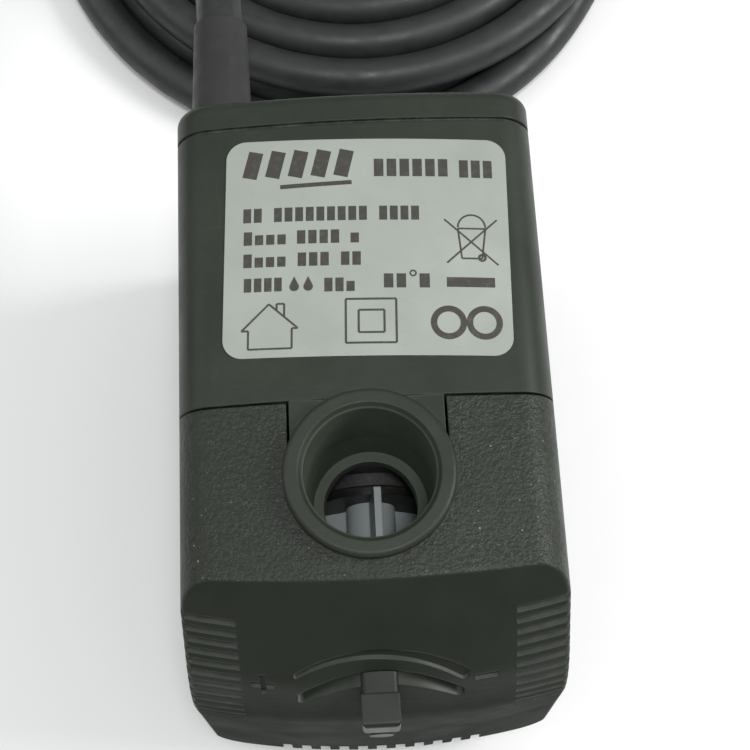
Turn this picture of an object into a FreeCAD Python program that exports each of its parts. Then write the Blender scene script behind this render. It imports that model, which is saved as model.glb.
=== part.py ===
"""Submersible fountain pump: magnetic-drive motor, volute, strainer cover, regulator and power lead.

Frame: X to the right, -Y to the front (intake and regulator), +Z up. The origin is on the resting
plane, at the middle of the pump's outline. All sizes are millimetres.
"""
import FreeCAD
import Part
import math
import os

import Sketcher

V = FreeCAD.Vector
doc = FreeCAD.newDocument("FountainPump")

# --------------------------------------------------------------------------- driving dimensions
SIZES = [
    ("body_width", 44.0, "outside width of motor housing and strainer cover"),
    ("body_top", 52.0, "height of the crowned top above the resting plane"),
    ("body_base", 6.0, "height of the flat underside above the resting plane"),
    ("crown_radius", 165.0, "radius of the slightly crowned top"),
    ("top_corner", 4.6, "corner radius between top and sides"),
    ("base_corner", 4.0, "corner radius between underside and sides"),
    ("wall", 2.0, "wall of the motor housing"),
    ("base_wall", 4.6, "thicker floor of the motor housing, which holds the suction cups"),
    ("cover_wall", 1.8, "wall of the strainer cover"),
    ("rear_end", 38.05, "rear face of the rear cap"),
    ("cap_seam", 33.45, "joint between housing and rear cap"),
    ("cover_seam", -2.0, "joint between housing and strainer cover"),
    ("seam_gap", 0.3, "visible gap at the cover joint"),
    ("outlet_place", -11.25, "distance of the outlet axis from the middle, along Y"),
    ("outlet_flange", 9.8, "outer radius of the outlet flange"),
    ("outlet_neck", 8.9, "outer radius of the outlet neck below the flange"),
    ("outlet_rise", 1.6, "rise of the outlet flange above the crowned top"),
    ("outlet_mouth", 7.5, "radius of the cylindrical outlet socket"),
    ("outlet_socket", 11.0, "depth of the cylindrical outlet socket"),
    ("outlet_throat", 6.9, "radius of the tapered outlet bore at its shoulder"),
    ("outlet_reach", 15.3, "depth of the shoulder in the outlet below its mouth"),
    ("outlet_hole", 5.65, "radius of the hole from the shoulder into the pump chamber"),
    ("axis_height", 25.0, "height of the rotor axis"),
    ("drum_radius", 14.6, "outer radius of the pump chamber"),
    ("drum_front", -19.0, "front rim of the pump chamber"),
    ("chamber_radius", 11.8, "inner radius of the pump chamber"),
    ("chamber_back", -5.5, "rear wall of the pump chamber"),
    ("well_radius", 8.6, "inner radius of the rotor well"),
    ("well_wall", 1.2, "wall of the rotor well"),
    ("well_end", 10.6, "rear end of the rotor well"),
    ("bush_radius", 2.6, "outer radius of the rubber shaft bushes"),
    ("bush_length", 2.8, "length of a rubber shaft bush"),
    ("shaft_radius", 1.15, "radius of the ceramic shaft"),
    ("shaft_play", 0.05, "running clearance of the rotor on its shaft"),
    ("magnet_radius", 7.6, "outer radius of the rotor magnet"),
    ("sleeve_radius", 3.0, "outer radius of the rotor sleeve"),
    ("impeller_radius", 10.3, "tip radius of the impeller vanes"),
    ("core_width", 32.0, "width of the laminated core over both legs"),
    ("core_stack", 16.0, "stack height of the laminated core"),
    ("core_leg", 6.0, "width of a core leg and of the core's yoke"),
    ("yoke_middle", 24.2, "middle of the core's yoke along Y"),
    ("front_face", -36.1, "place of the upright front face at its middle"),
    ("front_bow", 100.0, "radius of the bowed front face seen from above"),
    ("nose_start", -23.2, "place where the top breaks into the sloping nose"),
    ("nose_slope", 47.0, "slope of the nose below level, in degrees"),
    ("nose_round", 13.0, "radius between the nose and the front face"),
    ("edge_round", 0.8, "radius of the edge all round the nose and front face"),
    ("slot_radius", 17.1, "middle radius of the regulator slot about the rotor axis"),
    ("slot_width", 1.4, "width of the regulator slot"),
    ("pivot_radius", 1.5, "radius of the regulator's pivot"),
    ("lever_front", -38.05, "front end of the regulator's lever"),
    ("lever_top", 42.9, "height of the top of the lever"),
    ("lever_rear", -34.2, "rear end of the lever's top"),
    ("leaf_front", -28.7, "front face of the regulator's shutter leaf"),
    ("leaf_back", -27.5, "rear face of the regulator's shutter leaf"),
    ("leaf_reach", 14.3, "radius of the shutter leaf"),
    ("rib_pitch", 1.5, "pitch of the grip grooves, measured along the surface"),
    ("rib_gap", 0.75, "width of a grip groove, measured along the surface"),
    ("bar_pitch", 2.5, "pitch of the intake slots"),
    ("bar_gap", 1.3, "width of an intake slot"),
    ("label_width", 33.9, "width of the rating label"),
    ("label_length", 28.2, "length of the rating label"),
    ("label_skin", 0.15, "thickness of the rating label"),
    ("label_x", 1.0, "sideways place of the middle of the rating label"),
    ("label_middle", 17.05, "middle of the rating label along Y"),
    ("label_turn", -2.1, "slight turn of the hand-applied label, in degrees"),
    ("cup_radius", 7.5, "lip radius of a suction cup"),
    ("cup_x", 13.5, "sideways distance of the suction cups from the middle"),
    ("cup_front", 5.5, "place of the front suction cups"),
    ("cup_rear", 26.0, "place of the rear suction cups"),
    ("cable_size", 6.0, "diameter of the round power cable"),
    ("gland_x", -16.8, "sideways place of the cable outlet"),
    ("gland_height", 42.0, "height of the cable outlet"),
    ("boot_length", 16.0, "length of the bend protector outside the rear cap"),
    ("coil_x", 3.0, "sideways place of the coiled cable"),
    ("coil_y", 107.5, "place of the coiled cable behind the pump"),
    ("coil_middle", 36.0, "mid-turn radius of the coiled cable"),
    ("coil_band", 18.0, "radial width of the coiled cable"),
    ("coil_rise", 12.0, "height of the coiled cable"),
]

sheet = doc.addObject("Spreadsheet::Sheet", "Sizes")
for row, (alias, value, meaning) in enumerate(SIZES, start=1):
    sheet.set("A%d" % row, alias)
    sheet.set("B%d" % row, str(value))
    sheet.set("C%d" % row, meaning)
    sheet.setAlias("B%d" % row, alias)
doc.recompute()


def size(alias):
    """Value of a driving dimension."""
    return float(sheet.get(alias))


# --------------------------------------------------------------------------- shared helpers
ROUND_ALONG_Y = FreeCAD.Rotation(V(1, 0, 0), -90)
NODES = {}


def node(name, item):
    """Register an object as the sub-part called name."""
    item.Label = name
    NODES[name] = item
    return item


def bind(item, **expressions):
    """Bind properties of an item to expressions of the sheet; '__' in a name stands for a dot."""
    for key, expression in expressions.items():
        item.setExpression(key.replace("__", "."), expression)


def cylinder_y(name, radius, start, end, x="0", z="Sizes.axis_height"):
    """Cylinder along Y between two places, all given as expressions."""
    item = doc.addObject("Part::Cylinder", name)
    item.Placement = FreeCAD.Placement(V(0, 0, 0), ROUND_ALONG_Y)
    bind(item, Radius=radius, Height="(%s) - (%s)" % (end, start))
    bind(item, Placement__Base__x=x, Placement__Base__y=start, Placement__Base__z=z)
    return item


def box(name, x, y, z):
    """Box between pairs of expressions along each axis."""
    item = doc.addObject("Part::Box", name)
    bind(item, Length="(%s) - (%s)" % (x[1], x[0]), Width="(%s) - (%s)" % (y[1], y[0]))
    bind(item, Height="(%s) - (%s)" % (z[1], z[0]))
    bind(item, Placement__Base__x=x[0], Placement__Base__y=y[0], Placement__Base__z=z[0])
    return item


def cut(name, base, tool):
    """Boolean difference."""
    item = doc.addObject("Part::Cut", name)
    item.Base = base
    item.Tool = tool
    return item


def fuse(name, items):
    """Boolean union of several items."""
    item = doc.addObject("Part::MultiFuse", name)
    item.Shapes = items
    item.Refine = True
    return item


def common(name, items):
    """Boolean intersection of several items."""
    item = doc.addObject("Part::MultiCommon", name)
    item.Shapes = items
    return item


def compound(name, items):
    """Group of separate solids."""
    item = doc.addObject("Part::Compound", name)
    item.Links = items
    return item


def plane_of(body, role):
    """Origin plane of a body, such as XZ_Plane."""
    for feature in body.Origin.OriginFeatures:
        if feature.Role == role:
            return feature
    raise ValueError(role)


def sketch_on(body, name, role, offset="0"):
    """Sketch on an origin plane of the body, shifted along the plane's normal."""
    sketch = body.newObject("Sketcher::SketchObject", name)
    sketch.AttachmentSupport = [(plane_of(body, role), "")]
    sketch.MapMode = "FlatFace"
    sketch.setExpression("AttachmentOffset.Base.z", offset)
    return sketch


def pad(body, name, sketch, length, reverse=False):
    """Pad of a sketch."""
    item = body.newObject("PartDesign::Pad", name)
    item.Profile = sketch
    item.Reversed = reverse
    item.setExpression("Length", length)
    doc.recompute()
    return item


def pocket(body, name, sketch, length, reverse=False):
    """Pocket of a sketch, which must remove material."""
    before = body.Shape.Volume
    item = body.newObject("PartDesign::Pocket", name)
    item.Profile = sketch
    item.Reversed = reverse
    item.setExpression("Length", length)
    doc.recompute()
    if body.Shape.Volume > before - 0.01:
        raise RuntimeError("%s removes nothing" % name)
    return item


def add_circle(sketch, radius, x="0", y="0"):
    """Circle with its radius and centre bound to expressions."""
    first = sketch.ConstraintCount
    index = sketch.addGeometry(Part.Circle(V(0.1, 0.1, 0), V(0, 0, 1), 1.0), False)
    sketch.addConstraint(Sketcher.Constraint("Radius", index, 1.0))
    sketch.addConstraint(Sketcher.Constraint("DistanceX", -1, 1, index, 3, 0.1))
    sketch.addConstraint(Sketcher.Constraint("DistanceY", -1, 1, index, 3, 0.1))
    for number, expression in enumerate((radius, x, y)):
        sketch.setExpression("Constraints[%d]" % (first + number), expression)
    return index


def add_loop(sketch, points):
    """Closed straight-sided loop through the points; every corner is bound to two expressions."""
    count = len(points)
    values = [(float(sketch.evalExpression(x)), float(sketch.evalExpression(y))) for x, y in points]
    base = sketch.GeometryCount
    for number in range(count):
        here = V(values[number][0], values[number][1], 0)
        there = V(*values[(number + 1) % count], 0)
        sketch.addGeometry(Part.LineSegment(here, there), False)
    for number in range(count):
        following = base + (number + 1) % count
        sketch.addConstraint(Sketcher.Constraint("Coincident", base + number, 2, following, 1))
    for number in range(count):
        for kind, value, expression in (("DistanceX", values[number][0], points[number][0]),
                                        ("DistanceY", values[number][1], points[number][1])):
            index = sketch.addConstraint(Sketcher.Constraint(kind, -1, 1, base + number, 1, value))
            sketch.setExpression("Constraints[%d]" % index, expression)


def add_section(sketch, inset="0", floor="Sizes.body_base"):
    """The pump's crowned, round-cornered cross-section, drawn a given inset inside the outline."""
    depth = float(sketch.evalExpression(inset))
    low = float(sketch.evalExpression(floor))
    half = size("body_width") / 2 - depth
    crown = size("crown_radius") - depth
    high = size("body_top") - depth
    upper = size("top_corner") - depth
    lower = size("base_corner") - depth
    hub = high - crown
    rise = hub + math.sqrt((crown - upper) ** 2 - (half - upper) ** 2)
    lean = math.atan2(rise - hub, half - upper)
    axis = V(0, 0, 1)
    quarter = math.pi / 2
    edges = [
        Part.LineSegment(V(lower - half, low, 0), V(half - lower, low, 0)),
        Part.ArcOfCircle(Part.Circle(V(half - lower, low + lower, 0), axis, lower), -quarter, 0),
        Part.LineSegment(V(half, low + lower, 0), V(half, rise, 0)),
        Part.ArcOfCircle(Part.Circle(V(half - upper, rise, 0), axis, upper), 0, lean),
        Part.ArcOfCircle(Part.Circle(V(0, hub, 0), axis, crown), lean, math.pi - lean),
        Part.ArcOfCircle(Part.Circle(V(upper - half, rise, 0), axis, upper), math.pi - lean, math.pi),
        Part.LineSegment(V(-half, rise, 0), V(-half, low + lower, 0)),
        Part.ArcOfCircle(Part.Circle(V(lower - half, low + lower, 0), axis, lower), math.pi, 3 * quarter),
    ]
    sketch.addGeometry(edges, False)
    for number in range(8):
        sketch.addConstraint(Sketcher.Constraint("Tangent", number, 2, (number + 1) % 8, 1))
    sketch.addConstraint(Sketcher.Constraint("Horizontal", 0))
    sketch.addConstraint(Sketcher.Constraint("Vertical", 2))
    sketch.addConstraint(Sketcher.Constraint("Vertical", 6))
    sketch.addConstraint(Sketcher.Constraint("PointOnObject", 4, 3, -2))
    sketch.addConstraint(Sketcher.Constraint("Equal", 1, 7))
    sketch.addConstraint(Sketcher.Constraint("Equal", 3, 5))
    sizes = [
        (Sketcher.Constraint("DistanceY", -1, 1, 0, 1, low), floor),
        (Sketcher.Constraint("DistanceX", -1, 1, 2, 1, half), "Sizes.body_width / 2 - (%s)" % inset),
        (Sketcher.Constraint("DistanceX", 6, 1, -1, 1, half), "Sizes.body_width / 2 - (%s)" % inset),
        (Sketcher.Constraint("Radius", 4, crown), "Sizes.crown_radius - (%s)" % inset),
        (Sketcher.Constraint("DistanceY", 4, 3, -1, 1, crown - high), "Sizes.crown_radius - Sizes.body_top"),
        (Sketcher.Constraint("Radius", 3, upper), "Sizes.top_corner - (%s)" % inset),
        (Sketcher.Constraint("Radius", 1, lower), "Sizes.base_corner - (%s)" % inset),
    ]
    for constraint, expression in sizes:
        index = sketch.addConstraint(constraint)
        sketch.setExpression("Constraints[%d]" % index, expression)


def section_body(name, start, end, inset="0", floor="Sizes.body_base"):
    """Body with the pump's cross-section between two places along Y, given as expressions."""
    body = doc.addObject("PartDesign::Body", name)
    sketch = sketch_on(body, name + "_section", "XZ_Plane", "-(%s)" % start)
    add_section(sketch, inset, floor)
    pad(body, name + "_block", sketch, "(%s) - (%s)" % (end, start), reverse=True)
    return body


def edges_where(shape, test):
    """Numbers of the edges of a shape whose points all pass a test."""
    chosen = []
    for number, edge in enumerate(shape.Edges, start=1):
        points = edge.discretize(5)
        if all(test(point) for point in points):
            chosen.append(number)
    return chosen


# --------------------------------------------------------------------------- motor housing
def make_motor_housing():
    """Crowned shell with the rotor well, pump chamber and outlet in one moulding."""
    body = section_body("motor_housing", "Sizes.cover_seam", "Sizes.cap_seam")

    cavity = sketch_on(body, "stator_space", "XZ_Plane", "-Sizes.cap_seam")
    add_section(cavity, "Sizes.wall", "Sizes.body_base + Sizes.base_wall")
    pocket(body, "stator_pocket", cavity, "Sizes.cap_seam - Sizes.cover_seam - Sizes.wall", reverse=True)

    tube = sketch_on(body, "well_outline", "XZ_Plane", "-(Sizes.cover_seam + Sizes.wall / 2)")
    add_circle(tube, "Sizes.well_radius + Sizes.well_wall", "0", "Sizes.axis_height")
    pad(body, "well_tube", tube, "Sizes.well_end + Sizes.bush_length + Sizes.well_wall - Sizes.cover_seam"
        " - Sizes.wall / 2", reverse=True)

    drum = sketch_on(body, "drum_outline", "XZ_Plane", "-(Sizes.cover_seam + Sizes.wall / 2)")
    add_circle(drum, "Sizes.drum_radius", "0", "Sizes.axis_height")
    pad(body, "drum", drum, "Sizes.cover_seam + Sizes.wall / 2 - Sizes.drum_front")

    tongue = sketch_on(body, "tongue_outline", "XY_Plane", "Sizes.axis_height")
    add_loop(tongue, [
        ("-Sizes.outlet_neck", "Sizes.outlet_place"),
        ("Sizes.outlet_neck", "Sizes.outlet_place"),
        ("Sizes.outlet_neck", "Sizes.cover_seam + Sizes.wall / 2"),
        ("-Sizes.outlet_neck", "Sizes.cover_seam + Sizes.wall / 2"),
    ])
    pad(body, "tongue", tongue, "Sizes.body_top - Sizes.axis_height - 0.25")

    neck = sketch_on(body, "neck_outline", "XY_Plane", "Sizes.axis_height")
    add_circle(neck, "Sizes.outlet_neck", "0", "Sizes.outlet_place")
    pad(body, "neck", neck, "Sizes.body_top - Sizes.axis_height + Sizes.outlet_rise / 2")

    flange = sketch_on(body, "flange_outline", "XY_Plane", "Sizes.body_top + 0.25")
    add_circle(flange, "Sizes.outlet_flange", "0", "Sizes.outlet_place")
    collar = pad(body, "flange", flange, "Sizes.outlet_rise - 0.25")

    top = size("body_top") + size("outlet_rise")
    edges = edges_where(collar.Shape, lambda point: abs(point.z - top) < 1e-6)
    rim = body.newObject("PartDesign::Fillet", "flange_round")
    rim.Base = (collar, ["Edge%d" % number for number in edges])
    rim.Radius = 0.55
    doc.recompute()

    face = sketch_on(body, "cover_seat_outline", "XZ_Plane", "-(Sizes.outlet_place - Sizes.outlet_flange)")
    add_circle(face, "Sizes.drum_radius", "0", "Sizes.axis_height")
    pocket(body, "cover_seat", face, "Sizes.drum_front - Sizes.outlet_place + Sizes.outlet_flange")

    chamber = sketch_on(body, "chamber_outline", "XZ_Plane", "-Sizes.drum_front")
    add_circle(chamber, "Sizes.chamber_radius", "0", "Sizes.axis_height")
    pocket(body, "chamber", chamber, "Sizes.chamber_back - Sizes.drum_front")

    well = sketch_on(body, "well_bore_outline", "XZ_Plane", "-Sizes.chamber_back")
    add_circle(well, "Sizes.well_radius", "0", "Sizes.axis_height")
    pocket(body, "well_bore", well, "Sizes.well_end - Sizes.chamber_back")

    seat = sketch_on(body, "bush_seat_outline", "XZ_Plane", "-Sizes.well_end")
    add_circle(seat, "Sizes.bush_radius", "0", "Sizes.axis_height")
    pocket(body, "bush_seat", seat, "Sizes.bush_length")

    bore = sketch_on(body, "outlet_profile", "YZ_Plane")
    mouth = "Sizes.body_top + Sizes.outlet_rise"
    shoulder = "Sizes.body_top + Sizes.outlet_rise - Sizes.outlet_reach"
    add_loop(bore, [
        ("Sizes.outlet_place", "Sizes.axis_height + Sizes.chamber_radius - 4"),
        ("Sizes.outlet_place + Sizes.outlet_hole", "Sizes.axis_height + Sizes.chamber_radius - 4"),
        ("Sizes.outlet_place + Sizes.outlet_hole", shoulder),
        ("Sizes.outlet_place + Sizes.outlet_throat", shoulder),
        ("Sizes.outlet_place + Sizes.outlet_mouth", mouth + " - Sizes.outlet_socket"),
        ("Sizes.outlet_place + Sizes.outlet_mouth", mouth + " - 0.6"),
        ("Sizes.outlet_place + Sizes.outlet_mouth + 0.6", mouth),
        ("Sizes.outlet_place", mouth),
    ])
    before = body.Shape.Volume
    groove = body.newObject("PartDesign::Groove", "outlet_bore")
    groove.Profile = bore
    groove.ReferenceAxis = (bore, ["Edge8"])
    groove.Angle = 360
    doc.recompute()
    if not before - body.Shape.Volume > 1500:
        raise RuntimeError("the outlet bore is missing")

    holes = sketch_on(body, "cup_holes", "XY_Plane", "Sizes.body_base")
    for side in ("", "-"):
        for place in ("Sizes.cup_front", "Sizes.cup_rear"):
            add_circle(holes, "2.2", side + "Sizes.cup_x", place)
    pocket(body, "cup_sockets", holes, "3.4", reverse=True)
    return body


motor_housing = node("motor_housing", make_motor_housing())


# --------------------------------------------------------------------------- rear cap and label
def make_rear_cap():
    """End cap with a narrow shadow groove at the joint, a spigot and the hole for the cable."""
    body = section_body("rear_cap", "Sizes.cap_seam + 0.5", "Sizes.rear_end")
    block = body.Tip
    back = size("rear_end")
    rim = edges_where(block.Shape, lambda point: abs(point.y - back) < 1e-6)
    rounding = body.newObject("PartDesign::Fillet", "rear_round")
    rounding.Base = (block, ["Edge%d" % number for number in rim])
    rounding.Radius = 1.6
    doc.recompute()

    groove = sketch_on(body, "groove_section", "XZ_Plane", "-Sizes.cap_seam")
    add_section(groove, "0.45", "Sizes.body_base + 0.45")
    pad(body, "groove_neck", groove, "1", reverse=True)

    spigot = sketch_on(body, "spigot_section", "XZ_Plane", "-(Sizes.cap_seam - 0.6)")
    add_section(spigot, "Sizes.wall + 0.05", "Sizes.body_base + Sizes.base_wall + 0.05")
    pad(body, "spigot", spigot, "1", reverse=True)

    hole = sketch_on(body, "cable_hole", "XZ_Plane", "-(Sizes.rear_end + 1)")
    add_circle(hole, "Sizes.cable_size / 2 + 0.9", "Sizes.gland_x", "Sizes.gland_height")
    pocket(body, "cable_way", hole, "10", reverse=True)
    return body


def make_rating_label():
    """Thin round-cornered sticker that follows the crowned top."""
    name = "label_outline"
    plate = doc.addObject("PartDesign::Body", name)
    sketch = sketch_on(plate, name + "_sketch", "XY_Plane", "Sizes.body_top - 4")
    half = size("label_width") / 2
    reach = size("label_length") / 2
    corner = 2.4
    quarter = math.pi / 2
    corners = [(half, -reach, -quarter), (half, reach, 0), (-half, reach, quarter), (-half, -reach, math.pi)]
    for across, along, start in corners:
        hub = V(math.copysign(half - corner, across), math.copysign(reach - corner, along), 0)
        arc = Part.ArcOfCircle(Part.Circle(hub, V(0, 0, 1), corner), start, start + quarter)
        sketch.addGeometry(arc, False)
    for number in range(4):
        here = sketch.Geometry[number].EndPoint
        there = sketch.Geometry[(number + 1) % 4].StartPoint
        sketch.addGeometry(Part.LineSegment(here, there), False)
    for number in range(4):
        sketch.addConstraint(Sketcher.Constraint("Tangent", number, 2, 4 + number, 1))
        sketch.addConstraint(Sketcher.Constraint("Tangent", 4 + number, 2, (number + 1) % 4, 1))
        if number:
            sketch.addConstraint(Sketcher.Constraint("Equal", 0, number))
    for number, kind in ((4, "Vertical"), (6, "Vertical"), (5, "Horizontal"), (7, "Horizontal")):
        sketch.addConstraint(Sketcher.Constraint(kind, number))
    for kind, line, value, expression in (
            ("DistanceX", 4, half, "Sizes.label_width / 2"),
            ("DistanceX", 6, -half, "-Sizes.label_width / 2"),
            ("DistanceY", 5, reach, "Sizes.label_length / 2"),
            ("DistanceY", 7, -reach, "-Sizes.label_length / 2")):
        place = sketch.addConstraint(Sketcher.Constraint(kind, -1, 1, line, 1, value))
        sketch.setExpression("Constraints[%d]" % place, expression)
    sketch.addConstraint(Sketcher.Constraint("Radius", 0, corner))
    pad(plate, name + "_block", sketch, "6")
    plate.Placement = FreeCAD.Placement(V(0, 0, 0), FreeCAD.Rotation(V(0, 0, 1), size("label_turn")))
    bind(plate, Placement__Base__x="Sizes.label_x", Placement__Base__y="Sizes.label_middle")

    skins = []
    for skin, rise in (("label_top", "Sizes.label_skin"), ("label_under", "0")):
        drum = doc.addObject("Part::Cylinder", skin)
        drum.Placement = FreeCAD.Placement(V(0, 0, 0), ROUND_ALONG_Y)
        bind(drum, Radius="Sizes.crown_radius + " + rise, Height="Sizes.cap_seam")
        bind(drum, Placement__Base__z="Sizes.body_top - Sizes.crown_radius")
        skins.append(drum)
    return common("rating_label", [plate, cut("label_shell", skins[0], skins[1])])


rear_cap = node("rear_cap", make_rear_cap())
rating_label = node("rating_label", make_rating_label())


# --------------------------------------------------------------------------- motor windings
def make_stator_core():
    """U-shaped stack of laminations: a yoke behind the rotor well and a leg on either side of it."""
    low = "Sizes.axis_height - Sizes.core_stack / 2"
    high = "Sizes.axis_height + Sizes.core_stack / 2"
    span = ("-Sizes.core_width / 2", "Sizes.core_width / 2")
    rear = "Sizes.yoke_middle + Sizes.core_leg / 2"
    block = box("core_block", span, ("Sizes.cover_seam + Sizes.wall + 0.6", rear), (low, high))
    inner = "Sizes.core_width / 2 - Sizes.core_leg"
    window = box("core_window", ("-(%s)" % inner, inner), ("-5", "Sizes.yoke_middle - Sizes.core_leg / 2"),
                 (low + " - 1", high + " + 1"))
    return cut("stator_core", block, window)


def spool(name, half_length, depth, height):
    """Block around the yoke's middle, given by its half length, depth along Y and height."""
    return box(name, ("-(%s)" % half_length, half_length),
               ("Sizes.yoke_middle - (%s) / 2" % depth, "Sizes.yoke_middle + (%s) / 2" % depth),
               ("Sizes.axis_height - (%s) / 2" % height, "Sizes.axis_height + (%s) / 2" % height))


def make_coil_bobbin():
    """Bobbin with two end flanges around the yoke."""
    tube = spool("bobbin_tube", "9.3", "Sizes.core_leg + 2", "Sizes.core_stack + 2")
    flanges = []
    for name, start, end in (("bobbin_flange_left", "-9.6", "-8.6"), ("bobbin_flange_right", "8.6", "9.6")):
        flange = spool(name, "1", "Sizes.core_leg + 10.6", "Sizes.core_stack + 9.6")
        bind(flange, Length="1", Placement__Base__x=start)
        flanges.append(flange)
    window = spool("bobbin_window", "12", "Sizes.core_leg", "Sizes.core_stack")
    return cut("coil_bobbin", fuse("bobbin_solid", [tube] + flanges), window)


def make_coil_winding():
    """Enamelled winding, rounded on its four long edges."""
    half = 8.6
    outer = spool("winding_outer", str(half), "Sizes.core_leg + 9.6", "Sizes.core_stack + 8.6")
    doc.recompute()
    soft = doc.addObject("Part::Fillet", "winding_round")
    soft.Base = outer
    chosen = []
    for number, edge in enumerate(outer.Shape.Edges, 1):
        if abs(edge.tangentAt(edge.FirstParameter).x) > 0.99:
            chosen.append((number, 2.4, 2.4))
    soft.Edges = chosen
    inner = spool("winding_window", str(half + 1), "Sizes.core_leg + 2", "Sizes.core_stack + 2")
    return cut("coil_winding", soft, inner)


stator_core = node("stator_core", make_stator_core())
coil_bobbin = node("coil_bobbin", make_coil_bobbin())
coil_winding = node("coil_winding", make_coil_winding())

WINDING_TOP = "Sizes.axis_height + Sizes.core_stack / 2 + 4.3"


def cylinder_x(name, radius, start, length, y, z):
    """Cylinder along X."""
    item = doc.addObject("Part::Cylinder", name)
    item.Placement = FreeCAD.Placement(V(0, 0, 0), FreeCAD.Rotation(V(0, 1, 0), 90))
    bind(item, Radius=radius, Height=length)
    bind(item, Placement__Base__x=start, Placement__Base__y=y, Placement__Base__z=z)
    return item


thermal_cutout = node("thermal_cutout", cylinder_x(
    "thermal_cutout", "1.3", "-1.5", "9", "Sizes.yoke_middle - 4", WINDING_TOP + " + 1.3"))

crimps = []
wires = []
for number, shift in enumerate((-1.35, 1.35)):
    crimp_y = "Sizes.yoke_middle + 2.6 + (%g)" % shift
    crimp_z = "Sizes.gland_height - 0.4"
    crimps.append(cylinder_x("crimp_%d" % number, "1.1", "-9", "5", crimp_y, crimp_z))
    start = V(-9, size("yoke_middle") + 2.6 + shift, size("gland_height") - 0.4)
    end = V(size("gland_x") + shift, size("cap_seam") - 0.7, size("gland_height") - 0.4)
    bend = V(end.x, start.y + 1.5, start.z)
    path = Part.Wire([Part.LineSegment(start, bend).toShape(), Part.LineSegment(bend, end).toShape()])
    ring = Part.Wire([Part.Circle(start, V(1, 0, 0), 0.8).toShape()])
    wire = doc.addObject("Part::Feature", "lead_wire_%d" % number)
    wire.Shape = path.makePipeShell([ring], True, False, 2)
    wires.append(wire)
crimp_sleeves = node("crimp_sleeves", compound("crimp_sleeves", crimps))
lead_wires = node("lead_wires", compound("lead_wires", wires))


def make_potting_resin():
    """Cast resin that fills the housing behind its front wall, around the motor's pieces."""
    fill = section_body("resin_fill", "Sizes.cover_seam + Sizes.wall", "Sizes.cap_seam - 0.6",
                        "Sizes.wall", "Sizes.body_base + Sizes.base_wall")
    tube = cylinder_y("resin_well", "Sizes.well_radius + Sizes.well_wall", "Sizes.cover_seam",
                      "Sizes.well_end + Sizes.bush_length + Sizes.well_wall")
    pieces = [tube, stator_core, coil_bobbin, coil_winding, thermal_cutout, crimp_sleeves, lead_wires]
    for number, piece in enumerate(pieces):
        fill = cut("resin_around_%d" % number, fill, piece)
    return fill


potting_resin = node("potting_resin", make_potting_resin())

# --------------------------------------------------------------------------- rotor and bearings
WELL_END = "Sizes.well_end"
COVER_FACE = "Sizes.drum_front + 2"


def ring_y(name, outer, inner, start, end):
    """Ring around the rotor axis."""
    solid = cylinder_y(name + "_solid", outer, start, end)
    bore = cylinder_y(name + "_bore", inner, start + " - 1", end + " + 1")
    return cut(name, solid, bore)


shaft_front = "Sizes.drum_front - 0.6"
rotor_shaft = node("rotor_shaft", cylinder_y(
    "rotor_shaft", "Sizes.shaft_radius", shaft_front, WELL_END + " + 2"))
rear_bush = node("rear_bush", cut(
    "rear_bush", cylinder_y("rear_bush_solid", "Sizes.bush_radius", WELL_END,
                            WELL_END + " + Sizes.bush_length"),
    cylinder_y("rear_bush_bore", "Sizes.shaft_radius", WELL_END + " - 1", WELL_END + " + 2")))
front_bush = node("front_bush", cut(
    "front_bush", cylinder_y("front_bush_solid", "Sizes.bush_radius", shaft_front + " - 0.8",
                             COVER_FACE + " - 0.1"),
    cylinder_y("front_bush_bore", "Sizes.shaft_radius", shaft_front, COVER_FACE)))
node("rear_thrust_washer", ring_y(
    "rear_thrust_washer", "2.4", "Sizes.shaft_radius", WELL_END + " - 0.7", WELL_END + " - 0.1"))
node("front_thrust_washer", ring_y(
    "front_thrust_washer", "2.4", "Sizes.shaft_radius", COVER_FACE, COVER_FACE + " + 0.6"))

ROTOR_BACK = "Sizes.well_end - 1"
IMPELLER_BACK = "Sizes.chamber_back - 2.4"
IMPELLER_FRONT = "Sizes.drum_front + 3"


def make_rotor_sleeve():
    """Plastic sleeve through the magnet, with an end flange, running on the shaft."""
    tube = cylinder_y("sleeve_tube", "Sizes.sleeve_radius", IMPELLER_BACK, ROTOR_BACK)
    flange = cylinder_y("sleeve_flange", "Sizes.magnet_radius - 0.6", ROTOR_BACK + " - 0.8", ROTOR_BACK)
    shoulder = cylinder_y("sleeve_shoulder", "Sizes.magnet_radius - 0.6", IMPELLER_BACK,
                          IMPELLER_BACK + " + 1")
    bore = cylinder_y("sleeve_bore", "Sizes.shaft_radius + Sizes.shaft_play", IMPELLER_BACK + " - 1",
                      ROTOR_BACK + " + 1")
    return cut("rotor_sleeve", fuse("sleeve_solid", [tube, flange, shoulder]), bore)


VANE_COUNT = 3
VANE_THICKNESS = 0.9
VANE_TURN = -85.0


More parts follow.
